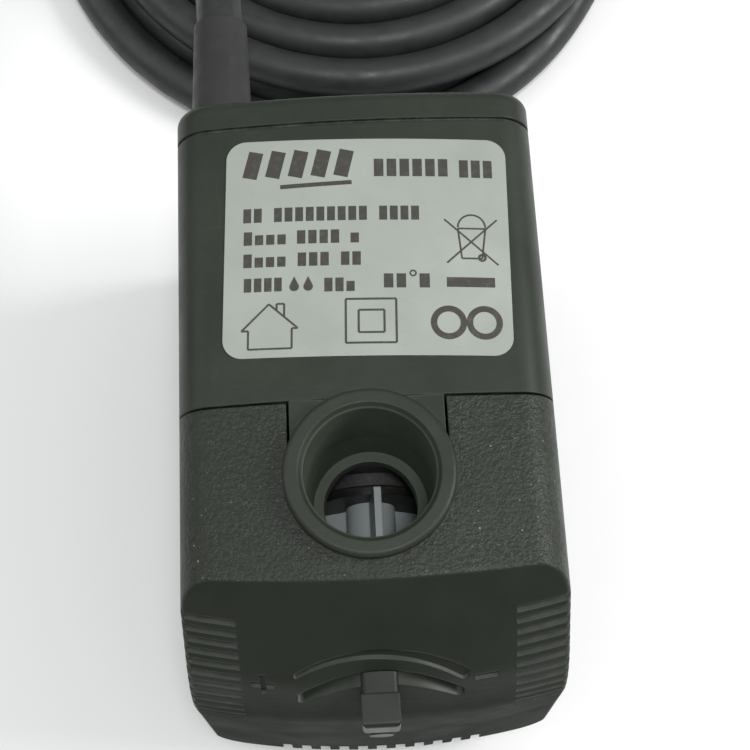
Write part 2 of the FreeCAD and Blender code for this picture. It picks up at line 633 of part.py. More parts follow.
def make_impeller():
    """Hub with straight vanes, which pump the same either way round."""
    hub = cylinder_y("impeller_hub", "Sizes.sleeve_radius + 0.15", IMPELLER_FRONT, IMPELLER_BACK)
    vanes = []
    for number in range(VANE_COUNT):
        vane = box("vane_%d" % number, ("0", "Sizes.impeller_radius"), (IMPELLER_FRONT, IMPELLER_BACK),
                   ("0", str(VANE_THICKNESS)))
        turn = FreeCAD.Rotation(V(0, 1, 0), 360.0 * number / VANE_COUNT + VANE_TURN)
        offset = turn.multVec(V(0, 0, -VANE_THICKNESS / 2))
        vane.Placement = FreeCAD.Placement(offset, turn)
        bind(vane, Placement__Base__y=IMPELLER_FRONT, Placement__Base__x="%.6f" % offset.x,
             Placement__Base__z="Sizes.axis_height + (%.6f)" % offset.z)
        vanes.append(vane)
    tips = cylinder_y("impeller_reach", "Sizes.impeller_radius", IMPELLER_FRONT, IMPELLER_BACK)
    solid = common("impeller_solid", [fuse("impeller_blades", [hub] + vanes), tips])
    bore = cylinder_y("impeller_bore", "Sizes.shaft_radius + Sizes.shaft_play", IMPELLER_FRONT + " - 1",
                      IMPELLER_BACK + " + 1")
    return cut("impeller", solid, bore)


rotor_sleeve = node("rotor_sleeve", make_rotor_sleeve())
rotor_magnet = node("rotor_magnet", ring_y(
    "rotor_magnet", "Sizes.magnet_radius", "Sizes.sleeve_radius", IMPELLER_BACK + " + 1",
    ROTOR_BACK + " - 0.8"))
impeller = node("impeller", make_impeller())


# --------------------------------------------------------------------------- pump chamber cover
def make_chamber_cover():
    """Disc that closes the pump chamber, with the inlet eye, three spokes and the bush holder."""
    disc = cylinder_y("cover_disc", "Sizes.drum_radius - 0.7", "Sizes.drum_front - 1.6", "Sizes.drum_front")
    spigot = cylinder_y("cover_spigot", "Sizes.chamber_radius - 0.1", "Sizes.drum_front - 1", COVER_FACE)
    land = cylinder_y("cover_land", "Sizes.chamber_radius + 1", "Sizes.drum_front + 0.4",
                      "Sizes.drum_front + 1.5")
    floor = cylinder_y("cover_land_floor", "Sizes.chamber_radius - 1.1", "Sizes.drum_front",
                       "Sizes.drum_front + 2")
    eye = cylinder_y("cover_eye", "5.6", "Sizes.drum_front - 3", "Sizes.drum_front + 3")
    plate = cut("cover_plate", cut("cover_blank", fuse("cover_stack", [disc, spigot]),
                                   cut("cover_groove", land, floor)), eye)
    holder = cylinder_y("bush_holder", "Sizes.bush_radius + 0.9", shaft_front + " - 1.6", COVER_FACE)
    spokes = []
    for number in range(3):
        spoke = box("cover_spoke_%d" % number, ("0", "6.4"), ("Sizes.drum_front - 1.6", COVER_FACE),
                    ("0", "1.2"))
        turn = FreeCAD.Rotation(V(0, 1, 0), 120.0 * number - 90)
        offset = turn.multVec(V(0, 0, -0.6))
        spoke.Placement = FreeCAD.Placement(offset, turn)
        bind(spoke, Placement__Base__x="%.6f" % offset.x, Placement__Base__y="Sizes.drum_front - 1.6",
             Placement__Base__z="Sizes.axis_height + (%.6f)" % offset.z)
        spokes.append(spoke)
    seat = cylinder_y("holder_seat", "Sizes.bush_radius", shaft_front + " - 0.8", COVER_FACE + " + 1")
    return cut("chamber_cover", fuse("cover_body", [plate, holder] + spokes), seat)


def make_o_ring():
    """Rubber ring in the groove of the chamber cover's spigot."""
    ring = doc.addObject("Part::Torus", "chamber_o_ring")
    ring.Placement = FreeCAD.Placement(V(0, 0, 0), ROUND_ALONG_Y)
    bind(ring, Radius1="Sizes.chamber_radius - 0.54", Radius2="0.5")
    bind(ring, Placement__Base__y="Sizes.drum_front + 0.95", Placement__Base__z="Sizes.axis_height")
    return ring


chamber_cover = node("chamber_cover", make_chamber_cover())
chamber_o_ring = node("chamber_o_ring", make_o_ring())


# --------------------------------------------------------------------------- strainer cover
def front_form(name, inset):
    """Wedge turned about an upright axis: the bowed front face with the sloping nose above it."""
    body = doc.addObject("PartDesign::Body", name)
    profile = sketch_on(body, name + "_profile", "XZ_Plane")
    slope = "Sizes.nose_slope * 1 deg"
    face = "(Sizes.front_bow - (%s))" % inset
    start = "(Sizes.front_bow + Sizes.front_face - Sizes.nose_start - (%s) * sin(%s))" % (inset, slope)
    level = "(Sizes.body_top - (%s) * cos(%s))" % (inset, slope)
    joint = "%s - (%s - %s) * tan(%s)" % (level, face, start, slope)
    above = "(Sizes.body_top + 8)"
    add_loop(profile, [("0", "0"), (face, "0"), (face, joint),
                       ("%s - (%s - %s) / tan(%s)" % (start, above, level, slope), above), ("0", above)])
    turned = body.newObject("PartDesign::Revolution", name + "_turned")
    turned.Profile = profile
    turned.ReferenceAxis = (profile, ["V_Axis"])
    turned.Angle = 60
    turned.Midplane = True
    body.Placement = FreeCAD.Placement(V(0, 0, 0), FreeCAD.Rotation(V(0, 0, 1), -90))
    bind(body, Placement__Base__y="Sizes.front_face + Sizes.front_bow")
    doc.recompute()
    height = float(profile.evalExpression(joint))
    rounded = doc.addObject("Part::Fillet", name + "_rounded")
    rounded.Base = body
    radius = size("nose_round") - float(profile.evalExpression(inset))
    rounded.Edges = [(number, radius, radius) for number in
                     edges_where(body.Shape, lambda point: abs(point.z - height) < 1e-4)]
    return rounded


def cover_form(name, inset, floor):
    """Solid form of the cover, a given inset inside its outline and with a sharp front edge."""
    prism = section_body(name + "_prism", "-60", "Sizes.cover_seam - Sizes.seam_gap", inset, floor)
    return common(name, [prism, front_form(name + "_front", inset)])


def rounded_front(name, form):
    """Round the edge that runs all the way around the nose and front face of a cover form."""
    doc.recompute()
    side = size("body_width") / 2 - size("top_corner") - 0.4
    low = size("body_base") + 0.1
    high = size("body_top") - 3

    def on_rim(point):
        return point.y < -20 and (abs(point.x) > side or point.z < low or point.z > high)

    item = doc.addObject("Part::Fillet", name)
    item.Base = form
    item.Edges = [(number, size("edge_round"), size("edge_round"))
                  for number in edges_where(form.Shape, on_rim)]
    return item


def arc_band(name, outer, start_width, end_width, start, end):
    """Upright band along an arc about the regulator's pivot, between two angles in degrees.

    The band lies inside the radius called outer and widens evenly from its start to its end.
    """
    hub = V(0, -60, size("axis_height"))

    def at(radius, angle):
        turn = math.radians(angle)
        return hub + V(radius * math.cos(turn), 0, radius * math.sin(turn))

    def cap(angle, width, away):
        """Middle point of a round end."""
        turn = math.radians(angle + 90 * away)
        return at(outer - width / 2, angle) + V(math.cos(turn), 0, math.sin(turn)) * (width / 2)

    between = (start + end) / 2
    mean = (start_width + end_width) / 2
    edges = [
        Part.Arc(at(outer, start), at(outer, between), at(outer, end)).toShape(),
        Part.Arc(at(outer, end), cap(end, end_width, 1), at(outer - end_width, end)).toShape(),
        Part.Arc(at(outer - end_width, end), at(outer - mean, between),
                 at(outer - start_width, start)).toShape(),
        Part.Arc(at(outer - start_width, start), cap(start, start_width, -1), at(outer, start)).toShape(),
    ]
    item = doc.addObject("Part::Feature", name)
    item.Shape = Part.Face(Part.Wire(edges)).extrude(V(0, 40, 0))
    return item


COVER_FLOOR = "Sizes.body_base + Sizes.cover_wall"
SLOT_CLEAR = "Sizes.outlet_neck + 0.3"
GROOVE_COUNT = 13
FIRST_GROOVE = 6.4
SLOT_COUNT = 11
SLOT_TURN = 31.8
STEM_TURN = 5.0
WEDGE_RADIUS = 19.9
MARK_LEVEL = 41.0


def make_intake_slots():
    """Row of slots through the bottom of the cover, which turn up through its lower front edge."""
    slots = []
    for number in range(SLOT_COUNT):
        middle = "(%g) * Sizes.bar_pitch" % (number - (SLOT_COUNT - 1) / 2)
        slots.append(box("intake_slot_%d" % number,
                         (middle + " - Sizes.bar_gap / 2", middle + " + Sizes.bar_gap / 2"),
                         ("-60", "-22"), ("Sizes.body_base - 2", "Sizes.body_base + 4.2")))
    return fuse("intake_slots", slots)


def nose_level(distance):
    """Height of the point at a distance down the nose and face, measured along their surface."""
    slope = math.radians(size("nose_slope"))
    radius = size("nose_round")
    run = size("nose_start") - size("front_face")
    trim = radius * math.tan((math.pi / 2 - slope) / 2)
    straight = run / math.cos(slope) - trim
    if distance < straight:
        return size("body_top") - distance * math.sin(slope)
    hub = size("body_top") - run * math.tan(slope) - trim
    turned = (distance - straight) / radius
    if slope + turned < math.pi / 2:
        return hub + radius * math.cos(slope + turned)
    return hub - (distance - straight - radius * (math.pi / 2 - slope))


def make_grip_grooves():
    """Level grooves around both front corners, evenly spaced along the surface and of even depth."""
    slabs = []
    for ends in (("-30", "-15.8"), ("15.8", "30")):
        for number in range(GROOVE_COUNT):
            start = FIRST_GROOVE + number * size("rib_pitch")
            high = nose_level(start)
            low = nose_level(start + size("rib_gap"))
            slabs.append(box("grip_slab_%d" % len(slabs), ends, ("-60", "-24"), (str(low), str(high))))
    floor = cover_form("grip_floor", "0.55", "Sizes.body_base + 0.55")
    return cut("grip_grooves", fuse("grip_slabs", slabs), floor)


def make_front_marks():
    """Shallow wedge above the regulator slot, with a plus and a minus mark at its two ends."""
    wedge = arc_band("wedge_band", WEDGE_RADIUS, 1.25, 0.45, 60, 119)
    level = str(MARK_LEVEL)
    strokes = []
    for name, x, width, height in (("plus_across", -13.3, 2.6, 0.6), ("plus_up", -13.3, 0.6, 2.2),
                                   ("minus_across", 12.3, 2.6, 0.6)):
        strokes.append(box(name, ("%g - %g / 2" % (x, width), "%g + %g / 2" % (x, width)), ("-60", "-20"),
                           (level + " - %g / 2" % height, level + " + %g / 2" % height)))
    return cut("front_marks", fuse("mark_solids", [wedge] + strokes),
               cover_form("mark_floor", "0.35", "Sizes.body_base + 0.35"))


def make_strainer_cover():
    """Removable cover: slotted lower front, grip grooves, regulator slot and outlet cut-out."""
    outside = rounded_front("cover_rounded", cover_form("cover_outside", "0", "Sizes.body_base"))
    inside_prism = section_body("cover_inside_prism", "-60", "Sizes.cover_seam + 1", "Sizes.cover_wall",
                                COVER_FLOOR)
    inside = common("cover_inside", [inside_prism, front_form("cover_inside_front", "Sizes.cover_wall")])

    above = "Sizes.axis_height + Sizes.drum_radius"
    lane = box("outlet_lane", ("-(%s)" % SLOT_CLEAR, SLOT_CLEAR), ("Sizes.outlet_place", "5"),
               (above, above + " + 30"))
    round_end = doc.addObject("Part::Cylinder", "outlet_round")
    bind(round_end, Radius=SLOT_CLEAR, Height="30")
    bind(round_end, Placement__Base__y="Sizes.outlet_place", Placement__Base__z=above)

    half = size("slot_width") / 2
    slot = arc_band("regulator_slot", size("slot_radius") + half, 2 * half, 2 * half,
                    90 - SLOT_TURN, 90 + SLOT_TURN)
    pivot = cylinder_y("pivot_hole", "Sizes.pivot_radius + 0.05", "-60", "-20")

    shell = cut("cover_shell", outside, inside)
    for number, tool in enumerate((lane, round_end, slot, pivot, make_intake_slots(), make_grip_grooves(),
                                   make_front_marks())):
        shell = cut("cover_cut_%d" % number, shell, tool)
    return shell


def make_flow_regulator():
    """Half-round shutter behind the front wall on its pivot, with an arm up to the lever in the slot."""
    back = "Sizes.leaf_back"
    hub = V(0, size("leaf_back"), size("axis_height"))
    across = V(size("leaf_reach"), 0, 0)
    arc = Part.Arc(hub - across, hub - V(0, 0, size("leaf_reach")), hub + across).toShape()
    side = Part.LineSegment(hub + across, hub - across).toShape()
    leaf = doc.addObject("Part::Feature", "shutter_leaf")
    leaf.Shape = Part.Face(Part.Wire([arc, side])).extrude(V(0, size("leaf_front") - size("leaf_back"), 0))

    slot_level = "Sizes.axis_height + Sizes.slot_radius"
    arm = box("shutter_arm", ("-1.6", "1.6"), ("Sizes.leaf_front", back),
              ("Sizes.axis_height - 1", slot_level + " + Sizes.slot_width / 2"))
    hub_sleeve = cylinder_y("shutter_hub", "Sizes.pivot_radius + 1.6",
                            "Sizes.front_face + Sizes.cover_wall + 0.35", back)
    pivot = cylinder_y("shutter_pivot", "Sizes.pivot_radius", "Sizes.front_face - 0.6", back)

    thick = size("slot_width") - 0.1
    band = arc_band("stem_band", size("slot_radius") + thick / 2, thick, thick, 90 - STEM_TURN, 90 + STEM_TURN)
    stem = common("lever_stem", [band, box("stem_reach", ("-5", "5"), ("-36.5", back),
                                           (slot_level + " - 3", slot_level + " + 3"))])
    top = size("lever_top")
    rear = V(0, size("lever_rear"), top)
    tip = size("lever_front")
    outline = [rear, V(0, tip, top), V(0, tip, top - 4.7), V(0, tip + 1.15, top - 5.7), rear]
    half = V(2.2, 0, 0)
    tab = doc.addObject("Part::Feature", "lever_tab")
    tab.Shape = Part.Face(Part.makePolygon([point - half for point in outline])).extrude(half * 2)
    solid = fuse("regulator_solid", [leaf, arm, hub_sleeve, pivot, stem, tab])
    doc.recompute()
    rounded = doc.addObject("Part::Fillet", "flow_regulator")
    rounded.Base = solid
    tips = edges_where(solid.Shape, lambda point: point.y < tip + 1e-6)
    rounded.Edges = [(number, 0.6, 0.6) for number in tips]
    return rounded


strainer_cover = node("strainer_cover", make_strainer_cover())
flow_regulator = node("flow_regulator", make_flow_regulator())


# --------------------------------------------------------------------------- suction cups
def make_suction_cup(name, x, y):
    """Rubber cup with a hollow underside and a stem in a socket of the housing."""
    body = doc.addObject("PartDesign::Body", name)
    profile = sketch_on(body, name + "_profile", "XZ_Plane")
    lip = "Sizes.cup_radius"
    base = "Sizes.body_base"
    add_loop(profile, [
        ("0", "1.7"), (lip + " - 3.2", "0.9"), (lip + " - 1.3", "0"), (lip + " - 0.2", "0"),
        (lip, "0.35"), (lip + " - 2.3", "2.2"), (lip + " - 4.3", "3.6"), (lip + " - 4.3", base),
        ("2.2", base), ("2.2", base + " + 3.3"), ("0", base + " + 3.3"),
    ])
    turned = body.newObject("PartDesign::Revolution", name + "_turned")
    turned.Profile = profile
    turned.ReferenceAxis = (profile, ["V_Axis"])
    turned.Angle = 360
    bind(body, Placement__Base__x=x, Placement__Base__y=y)
    return body


for side_name, sign in (("left", "-"), ("right", "")):
    for end_name, place in (("front", "Sizes.cup_front"), ("rear", "Sizes.cup_rear")):
        label = "suction_cup_%s_%s" % (end_name, side_name)
        node(label, make_suction_cup(label, sign + "Sizes.cup_x", place))


# --------------------------------------------------------------------------- power lead
def make_cable_gland():
    """Moulded bend protector, which fills the hole of the rear cap and tapers behind it."""
    x = "Sizes.gland_x"
    z = "Sizes.gland_height"
    plug = cylinder_y("gland_plug", "Sizes.cable_size / 2 + 0.9", "Sizes.cap_seam", "Sizes.rear_end", x, z)
    boot = doc.addObject("Part::Cone", "gland_boot")
    boot.Placement = FreeCAD.Placement(V(0, 0, 0), ROUND_ALONG_Y)
    bind(boot, Radius1="Sizes.cable_size / 2 + 0.9", Radius2="Sizes.cable_size / 2 + 0.5",
         Height="Sizes.boot_length")
    bind(boot, Placement__Base__x=x, Placement__Base__y="Sizes.rear_end", Placement__Base__z=z)
    bore = cylinder_y("gland_bore", "Sizes.cable_size / 2", "Sizes.rear_end + Sizes.boot_length / 2",
                      "Sizes.rear_end + Sizes.boot_length + 2", x, z)
    return cut("cable_gland", fuse("gland_solid", [plug, boot]), bore)


def rounded_route(points):
    """Wire of straight runs joined by tangent arcs, with its length and its smallest radius."""
    edges = []
    here = points[0]
    radii = []
    for before, corner, after in zip(points, points[1:], points[2:]):
        back = (before - corner).normalize()
        ahead = (after - corner).normalize()
        half_turn = (math.pi - back.getAngle(ahead)) / 2
        trim = 0.45 * min((before - corner).Length, (after - corner).Length)
        radius = trim / math.tan(half_turn)
        radii.append(radius)
        start = corner + back * trim
        end = corner + ahead * trim
        inward = (back + ahead).normalize()
        middle = corner + inward * (radius / math.cos(half_turn) - radius)
        edges.append(Part.LineSegment(here, start).toShape())
        edges.append(Part.Arc(start, middle, end).toShape())
        here = end
    edges.append(Part.LineSegment(here, points[-1]).toShape())
    return Part.Wire(edges), radii


def make_cable(name, points):
    """Round cable along a route."""
    route, radii = rounded_route(points)
    section = Part.Circle(points[0], points[1] - points[0], size("cable_size") / 2)
    cable = doc.addObject("Part::Feature", name)
    cable.Shape = route.makePipeShell([Part.Wire([section.toShape()])], True, False)
    ideal = math.pi * (size("cable_size") / 2) ** 2 * route.Length
    print("%s: length %.1f, radii %s, volume over section times length %.4f"
          % (name, route.Length, [round(radius, 1) for radius in radii], cable.Shape.Volume / ideal))
    return cable


LEAD_IN = [V(-16.8, 46.05, 42), V(-16.8, 62, 42), V(-19.0, 77, 37), V(-25.5, 89.5, 28.5), V(-33.0, 101, 19),
           V(-39.5, 115.5, 11)]
TAIL = [V(-41, 102, 3.2), V(-42.5, 117, 3.1), V(-39.5, 132.5, 3.4), V(-35.2, 147.5, 5), V(-33.5, 163, 7)]


def make_cable_coil():
    """Outer shape of the coiled cable: a flat ring with rounded edges."""
    body = doc.addObject("PartDesign::Body", "cable_coil")
    profile = sketch_on(body, "coil_profile", "XZ_Plane")
    inner = "Sizes.coil_middle - Sizes.coil_band / 2"
    outer = "Sizes.coil_middle + Sizes.coil_band / 2"
    bevel = "2.4"
    top = "Sizes.coil_rise"
    add_loop(profile, [
        (inner + " + " + bevel, "0"), (outer + " - " + bevel, "0"), (outer, bevel),
        (outer, top + " - " + bevel), (outer + " - " + bevel, top), (inner + " + " + bevel, top),
        (inner, top + " - " + bevel), (inner, bevel),
    ])
    ring = body.newObject("PartDesign::Revolution", "coil_ring")
    ring.Profile = profile
    ring.ReferenceAxis = (profile, ["V_Axis"])
    ring.Angle = 360
    bind(body, Placement__Base__x="Sizes.coil_x", Placement__Base__y="Sizes.coil_y")
    return body


PLUG_LENGTH = 36.0
PLUG_HALF = 17.6
NECK_LENGTH = 12.0
PIN_SPREAD = 9.3


def make_plug_body():
    """Flat two-pin moulded plug, tapering to a round neck on the cable."""
    end = TAIL[-1] + V(0, NECK_LENGTH, 0)
    body = doc.addObject("PartDesign::Body", "plug_block_body")
    outline = sketch_on(body, "plug_outline", "XY_Plane")
    shape = [(4.6, 0), (9.2, 6), (PLUG_HALF, 17), (PLUG_HALF, PLUG_LENGTH)]
    corners = shape + [(-across, along) for across, along in reversed(shape)]
    add_loop(outline, [("%g" % (end.x + across), "%g" % (end.y + along)) for across, along in corners])
    block = pad(body, "plug_block", outline, "%g" % (2 * end.z))
    edges = edges_where(block.Shape, lambda point: point.z < 1e-6 or point.z > 2 * end.z - 1e-6)
    soft = body.newObject("PartDesign::Fillet", "plug_round")
    soft.Base = (block, ["Edge%d" % number for number in edges])
    soft.Radius = 2.2
    neck = doc.addObject("Part::Cone", "plug_neck")
    neck.Placement = FreeCAD.Placement(V(0, 0, 0), ROUND_ALONG_Y)
    bind(neck, Radius1="Sizes.cable_size / 2 + 0.6", Radius2="Sizes.cable_size / 2 + 2.4",
         Height="%g" % (NECK_LENGTH + 6))
    neck.Placement.Base = TAIL[-1]
    return fuse("plug_body", [body, neck])


def plug_pieces():
    """Insulating sleeves and metal pins of the plug, one of each on either side."""
    end = TAIL[-1] + V(0, NECK_LENGTH, 0)
    face = end.y + PLUG_LENGTH
    sleeves = []
    pins = []
    for side in (-1, 1):
        x = "%g" % (end.x + side * PIN_SPREAD)
        z = "%g" % end.z
        label = "left" if side < 0 else "right"
        outer = cylinder_y("pin_sleeve_" + label, "1.9", "%g" % face, "%g" % (face + 10), x, z)
        bore = cylinder_y("pin_sleeve_bore_" + label, "1.4", "%g" % (face - 1), "%g" % (face + 11), x, z)
        sleeves.append(cut("pin_sleeve_ring_" + label, outer, bore))
        core = cylinder_y("pin_core_" + label, "1.4", "%g" % face, "%g" % (face + 12), x, z)
        tip = cylinder_y("pin_tip_" + label, "2", "%g" % (face + 10), "%g" % (face + 19), x, z)
        pins.append(fuse("pin_" + label, [core, tip]))
    return compound("plug_pin_sleeves", sleeves), compound("plug_pins", pins)


node("cable_gland", make_cable_gland())
node("power_cable", make_cable("power_cable", LEAD_IN))
node("cable_coil", make_cable_coil())
node("power_cable_tail", make_cable("power_cable_tail", TAIL))
node("plug_body", make_plug_body())
pin_sleeves, plug_pins = plug_pieces()
node("plug_pin_sleeves", pin_sleeves)
node("plug_pins", plug_pins)

# --------------------------------------------------------------------------- checks and files
doc.recompute()
for item in doc.Objects:
    if "Invalid" in item.State or "Error" in item.State:
        raise RuntimeError("%s did not build: %s" % (item.Name, item.State))
os.makedirs("parts", exist_ok=True)
for name, item in NODES.items():
    shape = item.Shape
    if shape.isNull() or not shape.isValid() or shape.Volume <= 0:
        raise RuntimeError("%s has no valid solid" % name)
    shape.exportStep(os.path.join("parts", name + ".step"))
    print("%-22s %10.1f mm3, %d solid(s)" % (name, shape.Volume, len(shape.Solids)))
print("%d sub-parts written" % len(NODES))
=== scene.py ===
"""Looks of the submersible fountain pump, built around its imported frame. Metres, +Z up, -Y to the front."""
import math

import bmesh
import bpy
from mathutils import Matrix, Vector


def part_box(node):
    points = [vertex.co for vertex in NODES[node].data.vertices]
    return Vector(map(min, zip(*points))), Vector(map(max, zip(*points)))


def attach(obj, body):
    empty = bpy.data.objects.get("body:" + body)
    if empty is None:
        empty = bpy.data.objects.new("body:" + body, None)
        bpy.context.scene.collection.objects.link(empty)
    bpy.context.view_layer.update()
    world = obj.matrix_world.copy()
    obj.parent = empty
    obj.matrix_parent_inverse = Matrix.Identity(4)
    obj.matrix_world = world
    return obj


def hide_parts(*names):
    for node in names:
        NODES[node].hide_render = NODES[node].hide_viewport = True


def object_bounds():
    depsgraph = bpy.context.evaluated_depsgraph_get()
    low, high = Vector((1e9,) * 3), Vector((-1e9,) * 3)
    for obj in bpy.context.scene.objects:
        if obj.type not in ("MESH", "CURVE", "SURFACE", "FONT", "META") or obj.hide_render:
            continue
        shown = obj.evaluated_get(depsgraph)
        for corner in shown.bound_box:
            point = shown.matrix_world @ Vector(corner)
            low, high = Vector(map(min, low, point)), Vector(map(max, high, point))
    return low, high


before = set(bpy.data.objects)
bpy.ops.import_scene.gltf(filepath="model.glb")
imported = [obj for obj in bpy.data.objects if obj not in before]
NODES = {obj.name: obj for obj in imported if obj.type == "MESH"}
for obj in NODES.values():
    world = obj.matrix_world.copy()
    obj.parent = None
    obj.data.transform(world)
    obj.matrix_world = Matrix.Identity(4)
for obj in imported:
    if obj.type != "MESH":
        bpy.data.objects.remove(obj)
cad_low, cad_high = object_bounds()
MM = 0.001


# --------------------------------------------------------------------------- camera
LENS = 75.0
SENSOR_WIDTH = 36.0
CAMERA_ELEVATION = 1.218
CAMERA_AZIMUTH = 0.032
CAMERA_ROLL = -0.018
CAMERA_ASIDE = -0.83
CAMERA_ALONG = -61.43
CAMERA_ABOVE_CROWN = 168.46
OUTLET_LIP = 1.6


def add_camera():
    """Camera above the front of the pump, close to it, looking down on the label and outlet."""
    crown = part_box("motor_housing")[1].z - OUTLET_LIP * MM
    data = bpy.data.cameras.new("camera")
    camera = bpy.data.objects.new("camera", data)
    bpy.context.scene.collection.objects.link(camera)
    data.sensor_width = SENSOR_WIDTH
    data.lens = LENS
    data.clip_start = 0.005
    data.clip_end = 10
    forward = Vector((math.sin(CAMERA_AZIMUTH) * math.cos(CAMERA_ELEVATION),
                      math.cos(CAMERA_AZIMUTH) * math.cos(CAMERA_ELEVATION), -math.sin(CAMERA_ELEVATION)))
    level = Vector((math.cos(CAMERA_AZIMUTH), -math.sin(CAMERA_AZIMUTH), 0))
    upward = level.cross(forward)
    right = math.cos(CAMERA_ROLL) * level + math.sin(CAMERA_ROLL) * upward
    upward = -math.sin(CAMERA_ROLL) * level + math.cos(CAMERA_ROLL) * upward
    turn = Matrix((right, upward, -forward)).transposed().to_4x4()
    place = (CAMERA_ASIDE * MM, CAMERA_ALONG * MM, crown + CAMERA_ABOVE_CROWN * MM)
    camera.matrix_world = Matrix.Translation(place) @ turn
    bpy.context.scene.camera = camera


add_camera()

# --------------------------------------------------------------------------- power lead
CABLE = 6.0 * MM
LEAD_IN = [(-16.8, 46.05, 42), (-16.8, 60, 42), (-19.0, 73.4, 37.7), (-24.8, 86.7, 30.9), (-31.5, 96.3, 23.4),
           (-36.6, 108.8, 17.5), (-36.4, 122.0, 15.5)]
TAIL = [(-44.0, 119, 3.05), (-40.0, 134, 3.3), (-35.6, 148.5, 5), (-33.5, 163, 7)]
TURN_POINTS = 18
COIL_START = 140.0
COIL_END = -1976.0
COIL_RADIUS = 42.4
# A turn moves sideways or down over this share of itself.
MOVE = 0.22
INWARD_TURNS = (1.0, 2.0)
INWARD_STEP = 6.2
OUTWARD_TURNS = (3.56, 4.56, 5.56)
OUTWARD_STEP = 6.3
LEVELS = (15.0, 9.0, 3.05)
LEVEL_MOVES = (0.11, 2.78)
WAVE = 0.3


def eased(share):
    """Smooth step from 0 to 1."""
    share = min(1.0, max(0.0, share))
    return share * share * (3 - 2 * share)


def coil_points():
    """Almost six turns: three on top from the outside inwards, then the rest below from the inside outwards."""
    low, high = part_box("cable_coil")
    hub = (low + high) / 2
    count = round((COIL_START - COIL_END) / 360 * TURN_POINTS)
    points = []
    for number in range(count + 1):
        angle = COIL_START + (COIL_END - COIL_START) * number / count
        turns = (180.0 - angle) / 360.0
        radius = COIL_RADIUS
        for start in INWARD_TURNS:
            radius -= INWARD_STEP * eased((turns - start) / MOVE)
        for start in OUTWARD_TURNS:
            radius += OUTWARD_STEP * eased((turns - start) / MOVE)
        level = LEVELS[0]
        for start, above, below in zip(LEVEL_MOVES, LEVELS, LEVELS[1:]):
            level -= (above - below) * eased((turns - start) / MOVE)
        radius += WAVE * math.sin(math.radians(3 * angle) + int(turns))
        place = math.radians(angle)
        offset = Vector((radius * math.cos(place), radius * math.sin(place), level)) * MM
        points.append(hub.xy.to_3d() + offset)
    return points


def add_spline_curve(name, points, thickness):
    """Round cord along one NURBS spline. Its points' radius holds its thickness, which keeps its box true."""
    data = bpy.data.curves.new(name, "CURVE")
    data.dimensions = "3D"
    data.bevel_depth = 1.0
    data.bevel_resolution = 8
    data.resolution_u = 10
    data.use_fill_caps = True
    spline = data.splines.new("NURBS")
    spline.points.add(len(points) - 1)
    for item, place in zip(spline.points, points):
        item.co = (*place, 1)
        item.radius = thickness / 2
    spline.order_u = 3
    spline.use_endpoint_u = True
    curve = bpy.data.objects.new(name, data)
    bpy.context.scene.collection.objects.link(curve)
    return curve


def add_power_lead():
    """The whole lead as one cord: out of the bend protector, six turns, and the tail into the plug."""
    route = [Vector(point) * MM for point in LEAD_IN] + coil_points() + [Vector(point) * MM for point in TAIL]
    lead = add_spline_curve("power_lead", route, CABLE)
    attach(lead, "housing")
    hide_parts("power_cable", "cable_coil", "power_cable_tail")
    return lead


power_lead = add_power_lead()


